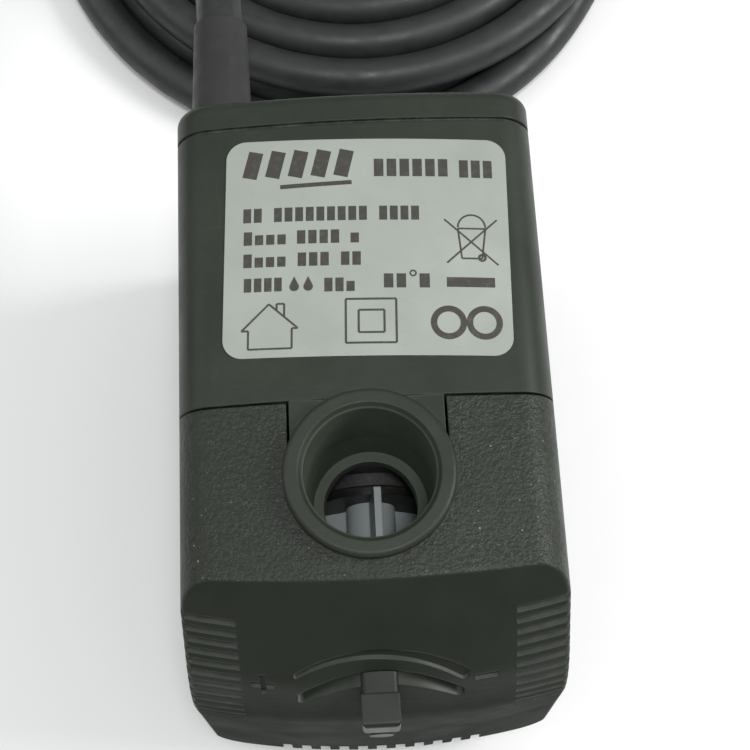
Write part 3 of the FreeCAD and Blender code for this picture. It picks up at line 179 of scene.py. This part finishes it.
# --------------------------------------------------------------------------- materials
class Paint:
    """One procedural material, with short ways to add the nodes that it uses."""

    def __init__(self, name, colour, roughness, **shading):
        self.material = bpy.data.materials.new(name)
        self.material.use_nodes = True
        self.tree = self.material.node_tree
        self.shader = self.tree.nodes["Principled BSDF"]
        self.place = self.put("ShaderNodeTexCoord").outputs["Object"]
        self.shade("Base Color", (*colour, 1) if len(colour) == 3 else colour)
        self.shade("Roughness", roughness)
        for socket, value in shading.items():
            self.shade(socket.replace("_", " "), value)

    def put(self, kind, inputs=None, **settings):
        """Adds a node, sets what it is told to, and feeds its inputs with values or with other nodes."""
        node = self.tree.nodes.new(kind)
        for setting, value in settings.items():
            setattr(node, setting, value)
        for socket, value in (inputs or {}).items():
            self.feed(node.inputs[socket], value)
        return node

    def feed(self, socket, value):
        """Links another node's output to a socket, or sets the socket's own value."""
        if isinstance(value, bpy.types.NodeSocket):
            self.tree.links.new(value, socket)
        else:
            socket.default_value = value

    def shade(self, socket, value):
        """Feeds one input of the material's shader."""
        self.feed(self.shader.inputs[socket], value)

    def stretched(self, scale):
        """The place on the piece, scaled by three factors, so that a pattern runs along one direction."""
        return self.put("ShaderNodeMapping", {"Vector": self.place, "Scale": scale}).outputs[0]

    def noise(self, scale, detail=3.0, roughness=0.55, place=None):
        """Clouds from 0 to 1."""
        inputs = {"Vector": place or self.place, "Scale": scale, "Detail": detail, "Roughness": roughness}
        return self.put("ShaderNodeTexNoise", inputs).outputs["Fac"]

    def cells(self, scale, output="Distance", place=None):
        """Random cells: the distance from their middles, or a colour for each."""
        return self.put("ShaderNodeTexVoronoi", {"Vector": place or self.place, "Scale": scale}).outputs[output]

    def maths(self, operation, first, second=0.0):
        """Two numbers put together, such as by ADD or MULTIPLY."""
        return self.put("ShaderNodeMath", {0: first, 1: second}, operation=operation).outputs[0]

    def ramp(self, value, low, high, start=0.0, end=1.0, smooth=False):
        """Start below low, end above high, and between them in between."""
        kind = "SMOOTHSTEP" if smooth else "LINEAR"
        inputs = {"Value": value, "From Min": low, "From Max": high, "To Min": start, "To Max": end}
        return self.put("ShaderNodeMapRange", inputs, interpolation_type=kind).outputs[0]

    def mix(self, share, first, second):
        """Colour from first to second."""
        colours = {6: first, 7: second}
        colours = {at: (*c, 1) if isinstance(c, tuple) and len(c) == 3 else c for at, c in colours.items()}
        return self.put("ShaderNodeMix", {0: share, **colours}, data_type="RGBA").outputs[2]

    def bump(self, height, depth, normal=None):
        """Shading normal of a surface raised by up to depth where height is 1."""
        inputs = {"Height": height, "Distance": depth, "Strength": 1.0}
        if normal is not None:
            inputs["Normal"] = normal
        return self.put("ShaderNodeBump", inputs).outputs[0]

    def rounded(self, radius):
        """Shading normal of the surface with its sharp edges rounded."""
        return self.put("ShaderNodeBevel", {"Radius": radius}, samples=6).outputs[0]

    def edges(self, rounded):
        """1 on sharp edges and 0 on flat surface."""
        flat = self.put("ShaderNodeNewGeometry").outputs["Normal"]
        compared = self.put("ShaderNodeVectorMath", {0: rounded, 1: flat}, operation="DOT_PRODUCT")
        return self.ramp(compared.outputs["Value"], 0.97, 0.80)

    def hollows(self, reach):
        """1 in corners and grooves and 0 on open surface."""
        open_share = self.put("ShaderNodeAmbientOcclusion", {"Distance": reach}, samples=6).outputs["AO"]
        return self.ramp(open_share, 0.85, 0.35)

    def axis(self, name):
        """One coordinate of the place on the piece: X, Y or Z."""
        return self.put("ShaderNodeSeparateXYZ", {"Vector": self.place}).outputs[name]


def times(colour, factor):
    """The colour made lighter or darker."""
    return tuple(channel * factor for channel in colour)


def moulded(name, colour, roughness=0.42, grain=0.006, edge_radius=0.25, dust=0.35, edge_wear_and_highlight=0.5):
    """Moulded plastic: clouded colour, faint flow lines, fine scuffs, pale edges that are partly worn and
    partly a painted highlight, and dust in corners.
    """
    paint = Paint(name, colour, roughness, Specular_IOR_Level=0.26)
    cloud = paint.ramp(paint.noise(90, 3), 0.35, 0.65)
    fine = paint.ramp(paint.noise(900, 2), 0.35, 0.65)
    tone = paint.mix(cloud, times(colour, 0.86), times(colour, 1.10))
    tone = paint.mix(paint.maths("MULTIPLY", fine, 0.35), tone, times(colour, 0.78))
    normal = paint.rounded(edge_radius * MM)
    scuffed = paint.ramp(paint.noise(1.0, 4, place=paint.stretched((260, 2600, 260))), 0.60, 0.74)
    scuffed_along = paint.ramp(paint.noise(1.0, 4, place=paint.stretched((3000, 200, 300))), 0.62, 0.76)
    scuffs = paint.maths("MAXIMUM", scuffed, scuffed_along)
    tone = paint.mix(paint.maths("MULTIPLY", scuffs, 0.18), tone, times(colour, 2.1))
    # Edges painted paler: partly wear, partly a painted highlight where the edges catch light.
    worn_and_highlit_edges = paint.maths("MULTIPLY", paint.edges(normal), paint.ramp(paint.noise(420, 3), 0.35, 0.62))
    tone = paint.mix(paint.maths("MULTIPLY", worn_and_highlit_edges, edge_wear_and_highlight), tone, times(colour, 2.4))
    dusty = paint.maths("MULTIPLY", paint.hollows(1.6 * MM), paint.ramp(paint.noise(600, 4), 0.40, 0.70))
    tone = paint.mix(paint.maths("MULTIPLY", dusty, dust), tone, (0.16, 0.155, 0.14, 1))
    paint.shade("Base Color", tone)
    uneven = paint.ramp(paint.noise(160, 4), 0.3, 0.7, roughness - 0.07, roughness + 0.09)
    paint.shade("Roughness", paint.maths("ADD", uneven, paint.maths("MULTIPLY", dusty, 0.25)))
    height = paint.maths("ADD", paint.noise(2600, 2), paint.maths("MULTIPLY", scuffs, -0.5))
    paint.shade("Normal", paint.bump(height, grain * MM, normal))
    return paint


BODY_GREY = (0.0215, 0.0265, 0.0195)


OUTLET_ALONG = -11.25
BORE_EDGE = (7.75, 7.55)
BORE_BOTTOM = (34, 36)


def housing_plastic():
    """The body's moulded plastic, with the outlet's bore wall painted lighter in patches as painted light
    inside the bore.
    """
    paint = moulded("housing_moulding", BODY_GREY)
    tone = paint.shader.inputs["Base Color"].links[0].from_socket
    middle = paint.put("ShaderNodeVectorMath", {0: paint.place, 1: (0, OUTLET_ALONG * MM, 0)},
                       operation="SUBTRACT").outputs[0]
    aside = paint.put("ShaderNodeVectorMath", {0: middle, 1: (1, 1, 0)}, operation="MULTIPLY").outputs[0]
    radius = paint.put("ShaderNodeVectorMath", {0: aside}, operation="LENGTH").outputs["Value"]
    within = paint.ramp(radius, BORE_EDGE[0] * MM, BORE_EDGE[1] * MM)
    above = paint.ramp(paint.axis("Z"), BORE_BOTTOM[0] * MM, BORE_BOTTOM[1] * MM)
    inside = paint.maths("MULTIPLY", within, above)
    # Painted light: the bore wall is painted up to 2.9 times lighter, standing in for light reaching down the
    # bore.
    bore_painted_light = paint.ramp(paint.noise(260, 4), 0.30, 0.70, 0.75, 1.0)
    paint.shade("Base Color", paint.mix(paint.maths("MULTIPLY", inside, bore_painted_light), tone, times(BODY_GREY, 2.9)))
    return paint


def rubber(name, colour, roughness=0.55):
    """Flexible rubber or soft vinyl: dull, with a fine skin, pale bloom and a few rubbed streaks."""
    paint = Paint(name, colour, roughness, Specular_IOR_Level=0.4)
    bloom = paint.ramp(paint.noise(220, 4, 0.6), 0.42, 0.72)
    rubbed = paint.ramp(paint.noise(1.0, 3, place=paint.stretched((500, 500, 1500))), 0.58, 0.78)
    tone = paint.mix(paint.maths("MULTIPLY", bloom, 0.35), times(colour, 0.85), times(colour, 1.7))
    tone = paint.mix(paint.maths("MULTIPLY", rubbed, 0.25), tone, times(colour, 2.4))
    paint.shade("Base Color", tone)
    paint.shade("Roughness", paint.ramp(paint.noise(300, 3), 0.3, 0.7, roughness - 0.1, roughness + 0.12))
    height = paint.maths("ADD", paint.noise(1500, 3), paint.noise(5000, 2))
    paint.shade("Normal", paint.bump(height, 0.012 * MM, paint.rounded(0.2 * MM)))
    return paint


def warped(paint, scale, reach):
    """The place on the piece, shifted a little by noise so that cells lose their even outlines."""
    shift = paint.put("ShaderNodeTexNoise", {"Vector": paint.place, "Scale": scale, "Detail": 1.0})
    scaled = paint.put("ShaderNodeVectorMath", {0: shift.outputs["Color"], "Scale": reach},
                       operation="SCALE").outputs[0]
    return paint.put("ShaderNodeVectorMath", {0: paint.place, 1: scaled}, operation="ADD").outputs[0]


def strainer_plastic():
    """The front cover: grain on its top and sides with painted glints, painted highlights on pimple tops and
    painted shade in pits, a smooth nose and a matt front face both painted darker as painted shade, and edges
    painted paler as painted highlight.
    """
    # Edge paleness raised to 0.9: a painted highlight along the cover's rim and crease, over a little wear.
    paint = moulded("strainer_cover_plastic", BODY_GREY, 0.40, grain=0.004, dust=0.3, edge_wear_and_highlight=0.9)
    tone = paint.shader.inputs["Base Color"].links[0].from_socket
    plain = paint.shader.inputs["Normal"].links[0].from_socket
    facing = paint.put("ShaderNodeSeparateXYZ",
                       {"Vector": paint.put("ShaderNodeNewGeometry").outputs["True Normal"]}).outputs["Y"]
    outside = paint.maths("MAXIMUM", paint.ramp(paint.axis("Z"), 48.4 * MM, 49.0 * MM),
                          paint.ramp(paint.maths("ABSOLUTE", paint.axis("X")), 21.2 * MM, 21.6 * MM))
    grained = paint.maths("MULTIPLY", paint.ramp(facing, -0.5, -0.3), outside)
    lumps = paint.ramp(paint.noise(1900, 2, 0.7), 0.36, 0.66, smooth=True)
    pimples = paint.ramp(paint.cells(1700, place=warped(paint, 900, 0.5 * MM)), 0.42, 0.05, smooth=True)
    coarse = paint.ramp(paint.noise(420, 2), 0.35, 0.65)
    height = paint.maths("ADD", lumps, paint.maths("MULTIPLY", pimples, coarse))
    # Painted shade: surfaces facing the front, the nose and front face, are painted darker.
    tone = paint.mix(paint.ramp(facing, -0.5, -0.3), times(BODY_GREY, 0.66), tone)
    # Painted shade: the low spots of the grain are painted darker.
    pit_shade = paint.maths("MULTIPLY", paint.ramp(lumps, 0.6, 0.1), grained)
    tone = paint.mix(paint.maths("MULTIPLY", pit_shade, 0.34), tone, times(BODY_GREY, 0.35))
    # Painted highlight: the tops of the grain's pimples are painted lighter.
    pimple_highlight = paint.maths("MULTIPLY", paint.maths("MULTIPLY", pimples, coarse), grained)
    tone = paint.mix(paint.maths("MULTIPLY", pimple_highlight, 0.30), tone, times(BODY_GREY, 2.4))
    paint.shade("Specular IOR Level", paint.ramp(facing, -0.97, -0.80, 0.06, 0.26))
    matt = paint.ramp(facing, -0.80, -0.97, 0.0, 0.28)
    paint.shade("Roughness", paint.maths("ADD", matt, paint.shader.inputs["Roughness"].links[0].from_socket))
    paint.shade("Normal", paint.bump(paint.maths("MULTIPLY", height, grained), 0.05 * MM, plain))
    # Painted glints: a few scattered grain cells are painted much lighter.
    chosen = paint.put("ShaderNodeSeparateColor", {0: paint.cells(2100, "Color")}).outputs[0]
    near = paint.ramp(paint.cells(2100), 0.30, 0.12)
    patchy = paint.ramp(paint.noise(150, 2), 0.40, 0.60)
    glint = paint.maths("MULTIPLY", paint.ramp(chosen, 0.93, 0.99), near)
    glint = paint.maths("MULTIPLY", paint.maths("MULTIPLY", glint, patchy), grained)
    paint.shade("Base Color", paint.mix(glint, tone, (0.20, 0.215, 0.19, 1)))
    return paint


def label_film():
    """Silver-grey film with a satin grain, clouded tone and dark specks of dirt."""
    paint = Paint("label_film", (0.30, 0.325, 0.295), 0.38, Metallic=0.2, Specular_IOR_Level=0.4)
    cloud = paint.ramp(paint.noise(60, 3), 0.3, 0.7)
    tone = paint.mix(cloud, (0.285, 0.312, 0.282), (0.325, 0.352, 0.32))
    specks = paint.ramp(paint.noise(1800, 3), 0.60, 0.75)
    tone = paint.mix(paint.maths("MULTIPLY", specks, 0.25), tone, (0.23, 0.25, 0.225))
    paint.shade("Base Color", tone)
    paint.shade("Roughness", paint.ramp(paint.noise(240, 3), 0.3, 0.7, 0.32, 0.46))
    paint.shade("Normal", paint.bump(paint.noise(1400, 3), 0.006 * MM, paint.rounded(0.08 * MM)))
    return paint


def metal(name, colour, roughness, lines=(300, 300, 300), grain=0.004):
    """Bare metal with fine drawn lines and uneven dulling."""
    paint = Paint(name, colour, roughness, Metallic=1.0)
    dull = paint.ramp(paint.noise(500, 4), 0.35, 0.7)
    paint.shade("Base Color", paint.mix(dull, colour, times(colour, 0.72)))
    drawn = paint.noise(1.0, 4, place=paint.stretched(lines))
    paint.shade("Roughness", paint.ramp(drawn, 0.3, 0.7, roughness - 0.08, roughness + 0.14))
    paint.shade("Normal", paint.bump(drawn, grain * MM, paint.rounded(0.1 * MM)))
    return paint


def enamelled_wire():
    """Enamelled copper wound in 0.2 mm turns round the bobbin's upright sides."""
    copper = (0.62, 0.22, 0.07)
    paint = Paint("enamelled_wire", copper, 0.28, Metallic=0.85, Coat_Weight=0.5)
    wave = {"Vector": paint.place, "Scale": 760.0, "Distortion": 0.6, "Detail": 1.0, "Detail Scale": 0.5}
    turns = paint.put("ShaderNodeTexWave", wave, wave_type="BANDS", bands_direction="Z",
                      wave_profile="SIN").outputs["Fac"]
    paint.shade("Base Color", paint.mix(turns, times(copper, 0.45), copper))
    paint.shade("Normal", paint.bump(turns, 0.06 * MM))
    return paint


def laminated_steel():
    """Stacked 0.5 mm steel sheets with rust in patches."""
    steel = (0.30, 0.29, 0.28)
    paint = Paint("laminated_steel", steel, 0.45, Metallic=0.9)
    sheets = paint.put("ShaderNodeTexWave", {"Vector": paint.place, "Scale": 314.0, "Distortion": 0.0},
                       wave_type="BANDS", bands_direction="Y", wave_profile="SAW").outputs["Fac"]
    rust = paint.ramp(paint.noise(350, 4), 0.55, 0.72)
    tone = paint.mix(sheets, times(steel, 0.6), steel)
    paint.shade("Base Color", paint.mix(rust, tone, (0.16, 0.08, 0.04)))
    paint.shade("Roughness", paint.ramp(rust, 0, 1, 0.4, 0.8))
    paint.shade("Normal", paint.bump(sheets, 0.05 * MM))
    return paint


def soft_white(name, colour):
    """Pale, slightly see-into moulded plastic or ceramic."""
    paint = Paint(name, colour, 0.38, Subsurface_Weight=0.15, Subsurface_Scale=0.5 * MM)
    cloud = paint.ramp(paint.noise(250, 3), 0.3, 0.7)
    paint.shade("Base Color", paint.mix(cloud, times(colour, 0.93), colour))
    paint.shade("Roughness", paint.ramp(paint.noise(500, 3), 0.3, 0.7, 0.30, 0.46))
    paint.shade("Normal", paint.bump(paint.noise(1200, 3), 0.006 * MM, paint.rounded(0.15 * MM)))
    return paint


def ferrite():
    """Pressed ferrite: dark, dull and granular."""
    paint = Paint("pressed_ferrite", (0.035, 0.034, 0.036), 0.6, Metallic=0.3)
    grains = paint.cells(2200)
    paint.shade("Base Color", paint.mix(grains, (0.025, 0.025, 0.027), (0.06, 0.058, 0.06)))
    paint.shade("Normal", paint.bump(paint.noise(2600, 4), 0.03 * MM, paint.rounded(0.2 * MM)))
    return paint


def paint_nodes():
    """Gives every CAD node its material."""
    body = housing_plastic()
    cap = moulded("rear_cap_moulding", times(BODY_GREY, 0.95), 0.44)
    black = moulded("black_moulding", (0.013, 0.015, 0.012), 0.42)
    plug = moulded("plug_moulding", (0.018, 0.018, 0.019), 0.36, dust=0.2)
    dark_rubber = rubber("dark_rubber", (0.020, 0.020, 0.020))
    pump_rubber = rubber("sucker_rubber", (0.030, 0.031, 0.030), 0.45)
    lead_rubber = rubber("lead_sheath", (0.020, 0.021, 0.021), 0.46)
    # The impeller's white plastic is painted grey, as painted shade for the dark pump chamber it sits in.
    shade_darkened_white = soft_white("pale_moulding", (0.36, 0.40, 0.41))
    ceramic = soft_white("ceramic", (0.72, 0.70, 0.66))
    bobbin = soft_white("bobbin_moulding", (0.50, 0.49, 0.44))
    tin = metal("tinned_metal", (0.55, 0.54, 0.52), 0.35)
    pin = metal("plated_brass", (0.60, 0.56, 0.48), 0.24, (2500, 250, 2500))
    wire = moulded("wire_insulation", (0.25, 0.06, 0.03), 0.4, dust=0.0)
    potting = moulded("potting_compound", (0.035, 0.035, 0.036), 0.25, dust=0.0)
    choices = {
        "motor_housing": body, "rear_cap": cap, "rating_label": label_film(), "stator_core": laminated_steel(),
        "coil_bobbin": bobbin, "coil_winding": enamelled_wire(), "thermal_cutout": tin, "crimp_sleeves": tin,
        "lead_wires": wire, "potting_resin": potting, "rotor_shaft": ceramic, "rear_bush": dark_rubber,
        "front_bush": dark_rubber, "rear_thrust_washer": ceramic, "front_thrust_washer": ceramic,
        "rotor_sleeve": black, "rotor_magnet": ferrite(), "impeller": shade_darkened_white, "chamber_cover": black,
        "chamber_o_ring": dark_rubber, "strainer_cover": strainer_plastic(), "flow_regulator": black,
        "suction_cup_front_left": pump_rubber, "suction_cup_rear_left": pump_rubber,
        "suction_cup_front_right": pump_rubber, "suction_cup_rear_right": pump_rubber,
        "cable_gland": dark_rubber, "plug_body": plug, "plug_pin_sleeves": plug, "plug_pins": pin}
    for name, paint in choices.items():
        for material_slot in NODES[name].material_slots:
            material_slot.material = paint.material
    power_lead.data.materials.append(lead_rubber.material)


paint_nodes()


# --------------------------------------------------------------------------- label print
LABEL_SIZE = (33.9, 28.2)
LABEL_TURN = -2.1
CROWN_RADIUS = 165
INK_LIFT = 0.02
INK = (0.036, 0.033, 0.028)


class LabelPrint:
    """Ink on the label, as thin flat shapes that follow the label's crowned surface."""

    def __init__(self):
        low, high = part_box("rating_label")
        self.middle = (low + high) / 2
        self.top = high.z + INK_LIFT * MM
        self.turn = Matrix.Rotation(math.radians(LABEL_TURN), 2)
        self.form = bmesh.new()

    def spot(self, across, along):
        """Point on the label: across and along in mm from its left front corner."""
        offset = self.turn @ Vector((across - LABEL_SIZE[0] / 2, along - LABEL_SIZE[1] / 2)) * MM
        x = self.middle.x + offset.x
        crown = CROWN_RADIUS * MM
        return Vector((x, self.middle.y + offset.y, self.top - crown + math.sqrt(crown * crown - x * x)))

    def face(self, places):
        """One flat shape with its corners at these places."""
        self.form.faces.new([self.form.verts.new(self.spot(*place)) for place in places])

    def strip(self, start, end, thickness):
        """Straight stroke, in pieces short enough to follow the crown."""
        first, second = Vector(start), Vector(end)
        side = (second - first).orthogonal().normalized() * thickness / 2
        pieces = max(1, math.ceil((second - first).length))
        for number in range(pieces):
            near = first.lerp(second, number / pieces)
            far = first.lerp(second, (number + 1) / pieces)
            self.face([near - side, far - side, far + side, near + side])

    def bar(self, left, front, width, height):
        """Filled rectangle."""
        self.strip((left, front + height / 2), (left + width, front + height / 2), height)

    def path(self, places, thickness, closed=True):
        """Strokes from place to place."""
        ends = places[1:] + places[:1] if closed else places[1:]
        for start, end in zip(places, ends):
            self.strip(start, end, thickness)

    def ring(self, middle, radius, thickness, first=0.0, last=360.0, steps=28):
        """Ring, or an arc from the first angle to the last."""
        for number in range(steps):
            angles = [math.radians(first + (last - first) * share / steps) for share in (number, number + 1)]
            inner, outer = radius - thickness / 2, radius + thickness / 2
            corners = [(outer, angles[0]), (outer, angles[1]), (inner, angles[1]), (inner, angles[0])]
            self.face([(middle[0] + r * math.cos(a), middle[1] + r * math.sin(a)) for r, a in corners])

    def words(self, left, front, height, counts, pitch, low=(), gap=0.9):
        """A row of plain blocks grouped like words, standing for a line of print."""
        at = left
        place = 0
        for count in counts:
            for _ in range(count):
                tall = height * (0.74 if place in low else 1.0)
                self.bar(at, front, pitch * 0.74, tall)
                at += pitch
                place += 1
            at += gap

    def drop(self, across, front, height):
        """Water drop: a disc with a point on top."""
        radius = height * 0.3
        middle = front + radius
        steps = 16
        angles = [math.tau * share / steps for share in range(steps)]
        self.face([(across + radius * math.sin(angle), middle - radius * math.cos(angle)) for angle in angles])
        shoulder = middle + radius * 0.4
        self.face([(across - radius * 0.9, shoulder), (across + radius * 0.9, shoulder),
                   (across, front + height)])

    def finish(self, name, body):
        """Makes one piece of all the ink, riding on a body."""
        mesh = bpy.data.meshes.new(name)
        self.form.to_mesh(mesh)
        self.form.free()
        piece = bpy.data.objects.new(name, mesh)
        bpy.context.scene.collection.objects.link(piece)
        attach(piece, body)
        return piece


def add_label_print():
    """Generic print: rows of blocks, an outlined hut, nested squares, two rings, a crossed box and bars."""
    ink = LabelPrint()
    for place in range(5):
        left = 2.3 + place * 2.75
        ink.strip((left + 0.55, 23.2), (left + 1.35, 26.7), 1.75)
    ink.strip((6.6, 21.9), (15.2, 22.35), 0.55)
    ink.words(17.9, 23.1, 2.35, [6], 1.55)
    ink.words(28.2, 23.0, 2.35, [3], 1.45)
    ink.words(2.2, 17.3, 1.85, [2, 9, 4], 1.27, gap=1.15)
    ink.words(2.3, 14.35, 1.75, [4, 4, 1], 1.34, low=(1, 2, 3, 8), gap=1.0)
    ink.words(2.3, 11.45, 1.75, [4, 3, 2], 1.34, low=(1, 2, 3), gap=1.1)
    ink.words(2.4, 8.3, 1.75, [4], 1.2)
    ink.drop(8.35, 8.25, 1.9)
    ink.drop(10.0, 8.25, 1.9)
    ink.words(11.9, 8.1, 1.75, [3], 1.3, low=(2,))
    ink.words(18.9, 8.5, 1.8, [2], 1.5)
    ink.ring((22.35, 10.35), 0.34, 0.2)
    ink.bar(23.1, 8.5, 1.2, 1.8)
    ink.bar(26.3, 8.6, 5.7, 1.25)
    ink.path([(28.2, 12.3), (30.6, 12.3), (31.1, 16.2), (27.8, 16.2)], 0.22)
    ink.ring((29.45, 16.35), 1.65, 0.22, 0, 180, 12)
    ink.ring((30.6, 12.4), 0.38, 0.3)
    ink.strip((26.4, 11.7), (32.5, 17.4), 0.22)
    ink.strip((32.5, 11.5), (26.2, 17.4), 0.22)
    ink.path([(3.0, 1.1), (8.1, 1.1), (8.1, 3.6), (8.8, 3.6), (5.4, 6.7), (2.2, 3.4), (3.0, 3.4)], 0.24)
    ink.path([(6.3, 5.9), (6.3, 6.7), (7.2, 6.7), (7.2, 5.1)], 0.24, closed=False)
    ink.path([(14.4, 1.6), (20.3, 1.6), (20.3, 7.1), (14.4, 7.1)], 0.26)
    ink.path([(15.9, 2.9), (18.9, 2.9), (18.9, 5.7), (15.9, 5.7)], 0.26)
    for middle in (26.4, 30.6):
        ink.ring((middle, 4.1), 1.75, 0.75)
    piece = ink.finish("label_print", "housing")
    paint = Paint("label_ink", INK, 0.45)
    faded = paint.ramp(paint.noise(1500, 3), 0.5, 0.8)
    paint.shade("Base Color", paint.mix(paint.maths("MULTIPLY", faded, 0.35), INK, times(INK, 3)))
    paint.shade("Roughness", paint.ramp(faded, 0, 1, 0.4, 0.55))
    piece.data.materials.append(paint.material)


add_label_print()


# --------------------------------------------------------------------------- light and floor
FLOOR_REACH = 3
FLOOR_GAP = 0.2
LAMPS = (
    ("key", (0.60, 0.02, 0.50), 4.3, 0.30),
    ("top", (0.05, -0.16, 0.90), 3.0, 0.16),
    ("fill", (-0.60, 0.10, 0.50), 1.2, 0.5))
LAMP_TARGET = (0, 0, 0.03)
WORLD_TINT = (0.97, 1.0, 0.98, 1)
# The world is dim near the horizon and bright above, between these heights.
WORLD_RAMP = (("From Min", 0.15), ("From Max", 0.75), ("To Min", 0.07), ("To Max", 0.70))


def add_studio():
    """Pale floor, soft world light and three large lamps."""
    mesh = bpy.data.meshes.new("floor")
    form = bmesh.new()
    bmesh.ops.create_grid(form, x_segments=1, y_segments=1, size=FLOOR_REACH)
    form.to_mesh(mesh)
    form.free()
    floor = bpy.data.objects.new("floor", mesh)
    bpy.context.scene.collection.objects.link(floor)
    floor.location.z = cad_low.z - FLOOR_GAP * MM
    paint = Paint("floor_paint", (0.80, 0.80, 0.80), 0.9, Specular_IOR_Level=0.1)
    mesh.materials.append(paint.material)

    world = bpy.data.worlds.new("world")
    bpy.context.scene.world = world
    world.use_nodes = True
    tree = world.node_tree
    upward = tree.nodes.new("ShaderNodeSeparateXYZ")
    tree.links.new(tree.nodes.new("ShaderNodeTexCoord").outputs["Generated"], upward.inputs[0])
    glow = tree.nodes.new("ShaderNodeMapRange")
    tree.links.new(upward.outputs["Z"], glow.inputs["Value"])
    for socket, value in WORLD_RAMP:
        glow.inputs[socket].default_value = value
    tree.links.new(glow.outputs[0], tree.nodes["Background"].inputs["Strength"])
    tree.nodes["Background"].inputs["Color"].default_value = WORLD_TINT

    for name, place, power, span in LAMPS:
        data = bpy.data.lights.new(name, "AREA")
        data.energy = power
        data.size = span
        lamp = bpy.data.objects.new(name, data)
        bpy.context.scene.collection.objects.link(lamp)
        lamp.location = place
        lamp.rotation_mode = "QUATERNION"
        lamp.rotation_quaternion = (Vector(LAMP_TARGET) - Vector(place)).to_track_quat("-Z", "Y")
    bpy.context.scene.view_settings.view_transform = "Standard"


add_studio()

# --------------------------------------------------------------------------- final scene update
bpy.context.view_layer.update()
